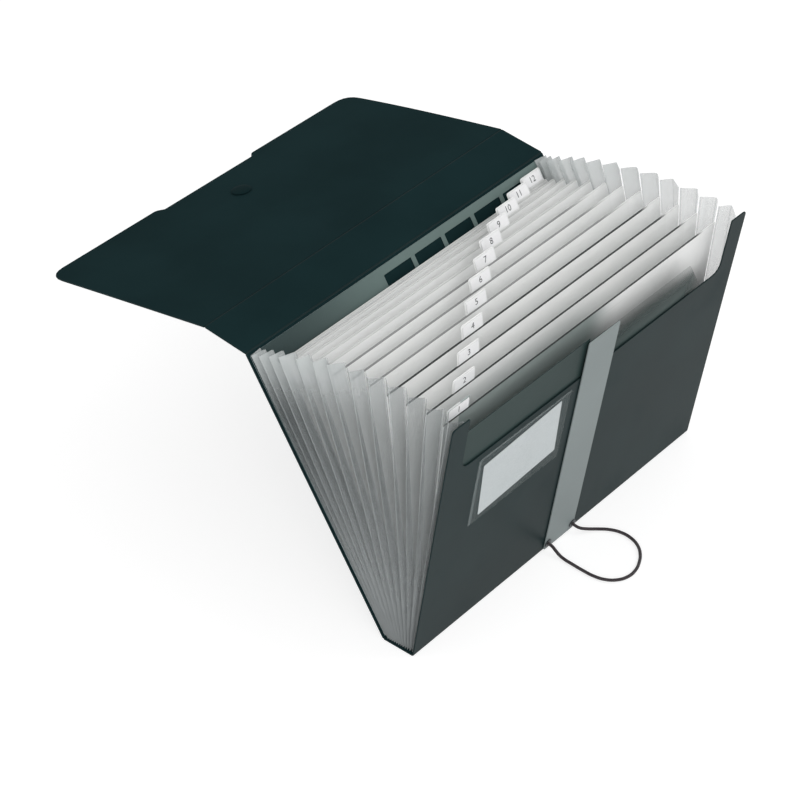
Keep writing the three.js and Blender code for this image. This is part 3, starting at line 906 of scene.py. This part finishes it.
@dataclass
class Pockets:
    """The dividers with their tabs and numbers.

    Attributes:
        rim: how far a divider's edges are rounded.
        hem: the width of the painted shade band along a divider's top edge.
        height: how far a divider rises, without its tab.
        shades: the last divider, from the front, of each painted edge shade, from dark to pale.
        number_size: the height of the letters on a tab.
        ink: how far the printed number stands on its label.
    """

    rim: float = 0.1 * MM
    hem: float = 1.5 * MM
    height: float = 217 * MM
    shades: tuple[int, ...] = (4, 7, 12)
    number_size: float = 7.0 * MM
    ink: float = 0.03 * MM

    def divider(self, node: str, leaf: Leaf) -> bmesh.types.BMesh:
        """A divider's shape, with its edges, and the band along its top in the second material, which is
        painted shade.
        """
        bm = rounded_copy(node, self.rim, 1)
        cut_across(bm, leaf, [], [self.height - self.hem, self.height])
        into = leaf.matrix().inverted()
        for face in bm.faces:
            middle = (into @ face.calc_center_median()).z
            if self.height - self.hem < middle < self.height + self.rim:
                face.material_index = 1
        return bm

    def number(self, text: str, leaf: Leaf, label: str) -> bpy.types.Mesh:
        """A plain number as a mesh on the front of a tab label.

        Args:
            text: the number.
            leaf: the divider that the label is on.
            label: the label's CAD node.

        Returns:
            The number's mesh in the file's frame.
        """
        curve = bpy.data.curves.new(f"number_{text}", "FONT")
        curve.body = text
        curve.size = self.number_size
        curve.extrude = self.ink / 2
        curve.align_x = "CENTER"
        curve.align_y = "CENTER"
        shown = bpy.data.objects.new(curve.name, curve)
        mesh = bpy.data.meshes.new_from_object(shown)
        bpy.data.objects.remove(shown)
        bpy.data.curves.remove(curve)
        low, high = span(label, leaf)
        upright = Matrix.Rotation(math.radians(90), 4, "X")
        place = Matrix.Translation(((low.x + high.x) / 2, low.y - self.ink / 2, (low.z + high.z) / 2))
        mesh.transform(leaf.matrix() @ place @ upright)
        return mesh

    def build(self) -> list[bpy.types.Object]:
        """Builds and dresses the dividers, labels and numbers."""
        first, other = FIRST_DIVIDER_SHADE_FINISH.material(DIVIDER_END), DIVIDER_FINISH.material(DIVIDER_END)
        edges = [finish.material() for finish in EDGE_SHADE_FINISHES]
        paper, ink = TAB_FINISH.material(), INK_FINISH.material()
        made = []
        for number, leaf in enumerate(DIVIDERS, start=1):
            node, label = f"divider_{number:02d}", f"tab_label_{number:02d}"
            # The top band takes a darker painted shade on the dividers nearer the front.
            rim = next(edges[i] for i, last in enumerate(self.shades) if number <= last)
            # The first divider takes the painted shade finish.
            sheet = first if number == 1 else other
            shape = self.divider(node, leaf)
            made.append(stand_for(make_piece(f"{node}_sheet", shape, [sheet, rim]), node))
            dress(frame["nodes"][label].data, paper)
            mesh = self.number(str(number), leaf, label)
            dress(mesh, ink)
            digits = show(f"tab_number_{number:02d}", mesh)
            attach(digits, BODY_OF[label])
            made.append(digits)
        return made


@dataclass
class PleatedFilm:
    """The folded film that closes both ends of each pocket, and the pocket's floor.

    Attributes:
        depth: the width of one wall of the fold.
        height: how far the film runs up the sheets.
        foot: how far above the hinge line it starts.
        last_foot: the same in the last pocket, which turns down the most as the file closes.
        thickness: the film's thickness.
        seat: the room between the film and the sheets.
        walls: the number of faces across both walls of a fold.
        rows: the number of faces up the fold.
        soften: how round the fold is, as a share of its depth.
        wander: how far the fold line wanders between the sheets, as a share of the gap.
        belly: how far a wall bulges.
        least_reach: how far a fold reaches out beyond the sheets at the least.
        sway_step: how far a pocket's wander is out of step with the last one's, in radians.
        bulge_step: the same for its bulge.
        bulge_turn: how far the bulge's wave turns from the foot to the top, in radians.
        floor_cells: the number of faces along a pocket's floor and across it.
    """

    depth: float = 11.0 * MM
    height: float = 231.0 * MM
    foot: float = 0.75 * MM
    last_foot: float = 2.4 * MM
    thickness: float = 0.25 * MM
    seat: float = 0.3 * MM
    walls: int = 10
    rows: int = 30
    soften: float = 0.1
    wander: float = 0.12
    belly: float = 0.5 * MM
    least_reach: float = 2.0 * MM
    sway_step: float = 2.4
    bulge_step: float = 1.7
    bulge_turn: float = 5.0
    floor_cells: tuple[int, int] = (12, 4)

    def sides(self, pocket: int) -> tuple[Leaf, float, Leaf, float]:
        """The sheets before and behind a pocket.

        Args:
            pocket: the pocket's number from the front, starting at 1.

        Returns:
            The front sheet's place and rear face, and the rear sheet's place and front face.
        """
        if pocket == 1:
            front = Leaf(FRONT.y, DIVIDERS[0].z, FRONT.lean)
            front_face = span("front_panel", FRONT)[1].y
        else:
            front = DIVIDERS[pocket - 2]
            front_face = span(f"divider_{pocket - 1:02d}", front)[1].y
        if pocket == POCKET_COUNT:
            rear = Leaf(BACK.y, DIVIDERS[0].z, BACK.lean)
            rear_face = span("rear_index_sheet", BACK)[0].y
        else:
            rear = DIVIDERS[pocket - 1]
            rear_face = span(f"divider_{pocket:02d}", rear)[0].y
        return front, front_face + self.seat, rear, rear_face - self.seat

    def start(self, pocket: int) -> float:
        """The height at which a pocket's film starts."""
        return self.last_foot if pocket == POCKET_COUNT else self.foot

    def strip(self, pocket: int, end: End) -> bmesh.types.BMesh:
        """One end's folded film.

        Args:
            pocket: the pocket's number.
            end: which end of the file.

        Returns:
            The film's shape, with a UV map across and along the fold.
        """
        front, front_face, rear, rear_face = self.sides(pocket)
        bm = bmesh.new()
        uv = bm.loops.layers.uv.new("UVMap")
        bmesh.ops.create_grid(bm, x_segments=self.walls, y_segments=self.rows, size=0.5)
        for face in bm.faces:
            for loop in face.loops:
                up = loop.vert.co.y + 0.5 + pocket * POCKET_STEPS + end.value
                loop[uv].uv = (loop.vert.co.x + 0.5, up)
        for vert in bm.verts:
            across, up = vert.co.x + 0.5, vert.co.y + 0.5
            height = self.start(pocket) + (self.height - self.start(pocket)) * up
            start = front.point(0, front_face, height)
            stop = rear.point(0, rear_face, height)
            half = (stop - start).length / 2
            run = math.sqrt(max(self.depth ** 2 - half ** 2, self.least_reach ** 2))
            off = abs(2 * across - 1)
            fold = (1 - math.hypot(off, self.soften)) / (1 - self.soften)
            sway = self.wander * math.sin(pocket * self.sway_step + end.value + up * (3 + pocket % 3))
            wave = math.sin(pocket * self.bulge_step + up * self.bulge_turn)
            bulge = self.belly * math.sin(math.pi * off) * wave
            spot = start.lerp(stop, across + sway * max(0.0, fold) * up)
            vert.co = Vector((end.value * (DIVIDER_END + run * fold + bulge * up), spot.y, spot.z))
        if end is End.NEAR:
            bmesh.ops.reverse_faces(bm, faces=bm.faces[:])
        bm.normal_update()
        bmesh.ops.solidify(bm, geom=bm.faces[:], thickness=self.thickness)
        return bm

    def floor(self, pocket: int) -> bmesh.types.BMesh:
        """The strip of film along the bottom of a pocket."""
        front, front_face, rear, rear_face = self.sides(pocket)
        along, over = self.floor_cells
        bm = bmesh.new()
        bm.loops.layers.uv.new("UVMap")
        bmesh.ops.create_grid(bm, x_segments=along, y_segments=over, size=0.5)
        for vert in bm.verts:
            start = front.point(0, front_face, self.start(pocket))
            stop = rear.point(0, rear_face, self.start(pocket))
            spot = start.lerp(stop, vert.co.y + 0.5)
            vert.co = Vector((vert.co.x * 2 * DIVIDER_END, spot.y, spot.z + self.thickness))
        bm.normal_update()
        bmesh.ops.solidify(bm, geom=bm.faces[:], thickness=self.thickness)
        return bm

    def build(self) -> list[bpy.types.Object]:
        """Builds and dresses the film of every pocket."""
        film = [FILM_FINISH.material()]
        made = []
        for pocket in range(1, POCKET_COUNT + 1):
            whole = bmesh.new()
            for part in (self.strip(pocket, End.NEAR), self.floor(pocket), self.strip(pocket, End.FAR)):
                mesh = bpy.data.meshes.new("part")
                part.to_mesh(mesh)
                part.free()
                whole.from_mesh(mesh)
                bpy.data.meshes.remove(mesh)
            node = f"pocket_gusset_{pocket:02d}"
            piece = stand_for(make_piece(f"pocket_film_{pocket:02d}", whole, film, 50), node)
            front, front_face, rear, rear_face = self.sides(pocket)
            -rear.normal()
            rear.point(0, rear_face, 0)
            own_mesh(piece)
            made.append(piece)
        return made


@dataclass
class InnerSheets:
    """The index sheet on the back cover and the tinted sheet behind the cut-away.

    Attributes:
        rim: how far their edges are rounded.
        wall_height: how far the tinted sheet rises at the label's end.
    """

    rim: float = 0.08 * MM
    wall_height: float = 217.0 * MM

    def sheet(self, node: str, leaf: Leaf) -> bmesh.types.BMesh:
        """A sheet's shape, with its edges in the second material."""
        bm = rounded_copy(node, self.rim, 1)
        for face in bm.faces:
            if not is_broad(face, leaf.normal()):
                face.material_index = 1
        return bm

    def build(self) -> list[bpy.types.Object]:
        """Builds and dresses both sheets."""
        index = make_piece("index_sheet", self.sheet("rear_index_sheet", BACK),
                           [INDEX_PAINTED_LIGHT_FINISH.material(), INDEX_RIM.material()])
        tinted = TINTED_PAINTED_LIGHT_FINISH.material()
        shape = self.sheet("front_pocket_wall", FRONT)
        bmesh.ops.bisect_plane(shape, geom=shape.verts[:] + shape.edges[:] + shape.faces[:],
                               plane_co=FRONT.point(0, 0, self.wall_height), plane_no=FRONT.upward(),
                               clear_outer=True)
        bmesh.ops.holes_fill(shape, edges=shape.edges[:])
        wall = make_piece("tinted_wall", shape, [tinted, tinted])
        return [stand_for(index, "rear_index_sheet"), stand_for(wall, "front_pocket_wall")]


@dataclass
class FrontFittings:
    """The strap, the label pocket with its card, and the eyelets of the elastic loop.

    Attributes:
        strap_rim: how far the strap's edges are rounded.
        strap_step: the height between two cuts across the strap.
        strap_cuts: how many such cuts it has.
        eyelet_rim: how far an eyelet's edges are rounded.
        weld: the width of the label pocket's welded edge.
        weld_drop: how far that edge is pressed towards the cover.
    """

    strap_rim: float = 0.25 * MM
    strap_step: float = 30 * MM
    strap_cuts: int = 6
    eyelet_rim: float = 0.22 * MM
    weld: float = 1.8 * MM
    weld_drop: float = 0.8 * MM

    def label_pocket(self) -> bpy.types.Object:
        """The film pocket, pressed down to the cover along its welded edge, and open at its top."""
        bm = merged_copy("label_pocket")
        normal = FRONT.normal()
        broad = [face for face in bm.faces if is_broad(face, normal)]
        ring = bmesh.ops.inset_individual(bm, faces=broad, thickness=self.weld)["faces"]
        inner = {vert for face in broad for vert in face.verts}
        into, mouth = FRONT.matrix().inverted(), span("label_pocket", FRONT)[1].z - self.weld
        outer = [vert for vert in bm.verts if vert not in inner and (into @ vert.co).z < mouth]
        bmesh.ops.translate(bm, verts=outer, vec=normal * self.weld_drop)
        for face in ring:
            face.material_index = 1
        film = [finish.material() for finish in LABEL_FINISHES]
        return stand_for(make_piece("label_pocket_film", bm, film), "label_pocket")

    def build(self) -> list[bpy.types.Object]:
        """Builds and dresses everything that is fixed to the front cover."""
        bm = rounded_copy("centre_strap", self.strap_rim)
        cut_across(bm, FRONT, [0.0], [self.strap_step * step for step in range(1, self.strap_cuts + 1)])
        made = [stand_for(make_piece("strap_band", bm, [STRAP_FINISH.material()]), "centre_strap")]
        made.append(self.label_pocket())
        metal, plastic = EYELET_FINISH.material(), STOP_FINISH.material()
        for end in ("near", "far"):
            node = f"loop_eyelet_{end}"
            ring = rounded_copy(node, self.eyelet_rim, 3)
            made.append(stand_for(make_piece(f"eyelet_{end}", ring, [metal], 35), node))
            dress(frame["nodes"][f"loop_end_stop_{end}"].data, plastic)
        dress(frame["nodes"]["label_card"].data, CARD_FINISH.material())
        return made


@dataclass
class ElasticLoop:
    """The elastic loop on the table, from the near eyelet round to the far one.

    Attributes:
        diameter: the cord's diameter.
        length: its length between the eyelets.
        lies_from: how far towards the front the cord lies on the table; it is not used.
    """

    diameter: float = 2.5 * MM
    length: float = 168 * MM
    lies_from: float = -36 * MM

    ROUTE_MM = (
        (-14.5, -18.3, 6.82), (-14.6, -21.6, 6.0), (-15.0, -25.0, 4.2), (-15.5, -28.8, 2.4),
        (-16.0, -33.5, 1.45), (-16.6, -42.0, 1.3), (-17.1, -52.0, 1.3), (-17.0, -62.0, 1.3),
        (-14.8, -71.0, 1.3), (-9.4, -78.4, 1.3), (-1.4, -82.4, 1.3), (7.5, -82.4, 1.3),
        (16.2, -79.3, 1.3), (24.2, -74.2, 1.3), (30.6, -67.0, 1.3), (34.2, -58.0, 1.3),
        (34.6, -48.6, 1.3), (31.8, -39.8, 1.3), (26.6, -32.6, 1.5), (20.6, -27.6, 2.9),
        (16.2, -24.0, 4.7), (14.6, -21.2, 6.1), (14.5, -18.3, 6.82),
    )

    def curve(self) -> bpy.types.Curve:
        """The cord's centreline as one smooth open spline."""
        curve = bpy.data.curves.new("elastic_route", "CURVE")
        curve.dimensions = "3D"
        curve.resolution_u = 8
        curve.bevel_resolution = 3
        spline = curve.splines.new("BEZIER")
        spline.bezier_points.add(len(self.ROUTE_MM) - 1)
        for knot, point in zip(spline.bezier_points, self.ROUTE_MM):
            knot.co = Vector(point) * MM
            knot.handle_left_type = knot.handle_right_type = "AUTO"
        return curve

    def build(self) -> list[bpy.types.Object]:
        """Builds the cord, which bends from the front cover to the table."""
        curve = self.curve()
        shown = bpy.data.objects.new("elastic_route", curve)
        centreline = bpy.data.meshes.new_from_object(shown)
        path = [tuple(vert.co) for vert in centreline.vertices]
        curve.bevel_depth = self.diameter / 2
        curve.use_fill_caps = True
        mesh = bpy.data.meshes.new_from_object(shown)
        mesh.name = "elastic_cord"
        bpy.data.objects.remove(shown)
        measured = sum(math.dist(a, b) for a, b in zip(path, path[1:]))
        LOG.info("the loop's route measures %.4f m", measured)
        finish = BraidFinish("elastic_cord", (0.018, 0.012, 0.015), (0.055, 0.040, 0.046), 4, 6 * MM,
                             self.length)
        dress(mesh, finish.material())
        cord = show("elastic_cord", mesh)
        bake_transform(cord)
        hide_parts("elastic_loop")
        return [cord]


@dataclass
class Closure:
    """The button on the flap and its rivet cap.

    Attributes:
        cover: the cover whose flap they sit on.
        rim: how far their edges are rounded.
    """

    cover: CoverSheet
    rim: float = 0.35 * MM

    def build(self) -> list[bpy.types.Object]:
        """Builds and dresses both turned pieces, moved with the flap's sag."""
        looks = {"button": BUTTON_FINISH.material(), "rivet_cap": CAP_FINISH.material()}
        low, high = span("closure_button", FLAP)
        drop = self.cover.sag_at(0, (low.z + high.z) / 2)
        made = []
        for name, node in (("button", "closure_button"), ("rivet_cap", "button_rivet_cap")):
            bm = rounded_copy(node, self.rim, 3)
            bmesh.ops.translate(bm, verts=bm.verts[:], vec=FLAP.normal() * drop)
            made.append(stand_for(make_piece(name, bm, [looks[name]], 35), node))
        return made


@dataclass(frozen=True)
class Lamp:
    """A square soft lamp.

    Attributes:
        name: the lamp's name.
        power: its power in watts.
        size: the length of its sides.
        place: where it hangs.
    """

    name: str
    power: float
    size: float
    place: tuple[float, float, float]

    def hang(self, target: Vector) -> None:
        """Makes the lamp, turned to a point."""
        data = bpy.data.lights.new(self.name, "AREA")
        data.energy = self.power
        data.size = self.size
        place = Vector(self.place)
        aim = (target - place).to_track_quat("-Z", "Y").to_matrix().to_4x4()
        show(self.name, data).matrix_world = Matrix.Translation(place) @ aim


@dataclass
class Studio:
    """The floor, the lights and the camera.

    Attributes:
        azimuth: the camera's angle round the file, in degrees.
        elevation: its angle above the table.
        roll: how far it is turned about its own line of sight.
        place: where it stands.
        focal: its focal length in millimetres, for a sensor 36 mm wide.
        sky: how bright the world lights the object.
        key: the lamp on the camera's right.
        fill: the lamp just behind the camera.
        target: the point that both lamps are turned to.
        bounce: the floor's tone for the light that it throws on the object.
        floor_tone: its tone where it is seen.
        glow: how much white is added to it where it is seen.
    """

    azimuth: float = -47.489
    elevation: float = 38.111
    roll: float = -2.270
    place: tuple[float, float, float] = (-1.16997, -0.93279, 1.30132)
    focal: float = 118.03
    sky: float = 0.70
    key: Lamp = Lamp("key", 8.0, 1.4, (1.0, -0.8, 1.8))
    fill: Lamp = Lamp("fill", 16.0, 1.2, (-1.4, -1.2, 1.2))
    target: tuple[float, float, float] = (0.0, 0.1, 0.1)
    bounce: float = 0.9
    floor_tone: float = 0.42
    glow: float = 0.70

    def camera(self) -> None:
        """Makes the camera at the photograph's view."""
        azimuth, elevation, roll = (math.radians(a) for a in (self.azimuth, self.elevation, self.roll))
        back = Vector((math.sin(azimuth) * math.cos(elevation),
                       -math.cos(azimuth) * math.cos(elevation), math.sin(elevation)))
        right = Vector((math.cos(azimuth), math.sin(azimuth), 0))
        up = back.cross(right)
        turned = right * math.cos(roll) + up * math.sin(roll)
        upright = up * math.cos(roll) - right * math.sin(roll)
        data = bpy.data.cameras.new("camera")
        data.lens = self.focal
        data.sensor_width = 36.0
        data.clip_end = 100.0
        camera = show("camera", data)
        facing = Matrix((turned, upright, back)).transposed().to_4x4()
        camera.matrix_world = Matrix.Translation(self.place) @ facing
        bpy.context.scene.camera = camera

    def seen(self, graph: Graph) -> bpy.types.NodeSocket:
        """1 for a ray that shows the background: from the camera, in gloss or through glass."""
        path = graph.add("LightPath")
        gloss = graph.math("MAXIMUM", path.outputs["Is Glossy Ray"], path.outputs["Is Transmission Ray"])
        return graph.math("MAXIMUM", path.outputs["Is Camera Ray"], gloss)

    def floor(self) -> None:
        """Lays the pale floor, which keeps the object's shadow."""
        bm = bmesh.new()
        bmesh.ops.create_circle(bm, cap_ends=True, segments=64, radius=15.0)
        bmesh.ops.translate(bm, verts=bm.verts[:], vec=(0, 0, -0.3 * MM))
        material, graph, shader = new_material("floor_pale")
        seen = self.seen(graph)
        tone = graph.blend(seen, (self.bounce,) * 3, (self.floor_tone,) * 3)
        graph.feed(shader, {"Roughness": 0.9, "Specular IOR Level": 0.1, "Emission Color": (1, 1, 1, 1),
                            "Base Color": tone, "Emission Strength": graph.math("MULTIPLY", seen, self.glow)})
        make_piece("floor", bm, [material])

    def world(self) -> None:
        """Makes the plain bright surroundings."""
        world = bpy.data.worlds.new("studio")
        world.use_nodes = True
        graph = Graph(world.node_tree)
        background = world.node_tree.nodes["Background"]
        strength = graph.math("MULTIPLY_ADD", self.seen(graph), 1 - self.sky, self.sky)
        graph.feed(background, {"Color": (1, 1, 1, 1), "Strength": strength})
        bpy.context.scene.world = world

    def build(self) -> list[bpy.types.Object]:
        """Makes the whole studio; none of it is part of the object."""
        self.camera()
        self.floor()
        self.world()
        for lamp in (self.key, self.fill):
            lamp.hang(Vector(self.target))
        bpy.context.scene.view_settings.view_transform = "Standard"
        return []


def main() -> None:
    """Builds every sub-assembly in order and reports each piece."""
    logging.basicConfig(level=logging.INFO, format="%(message)s")
    cover = CoverSheet()
    for assembly in (Studio(), ElasticLoop(), cover, InnerSheets(), Pockets(), PleatedFilm(),
                     FrontFittings(), Closure(cover)):
        for piece in assembly.build():
            LOG.info("%s: %s with %d faces", type(assembly).__name__, piece.name, len(piece.data.polygons))


if __name__ == "__main__":
    main()
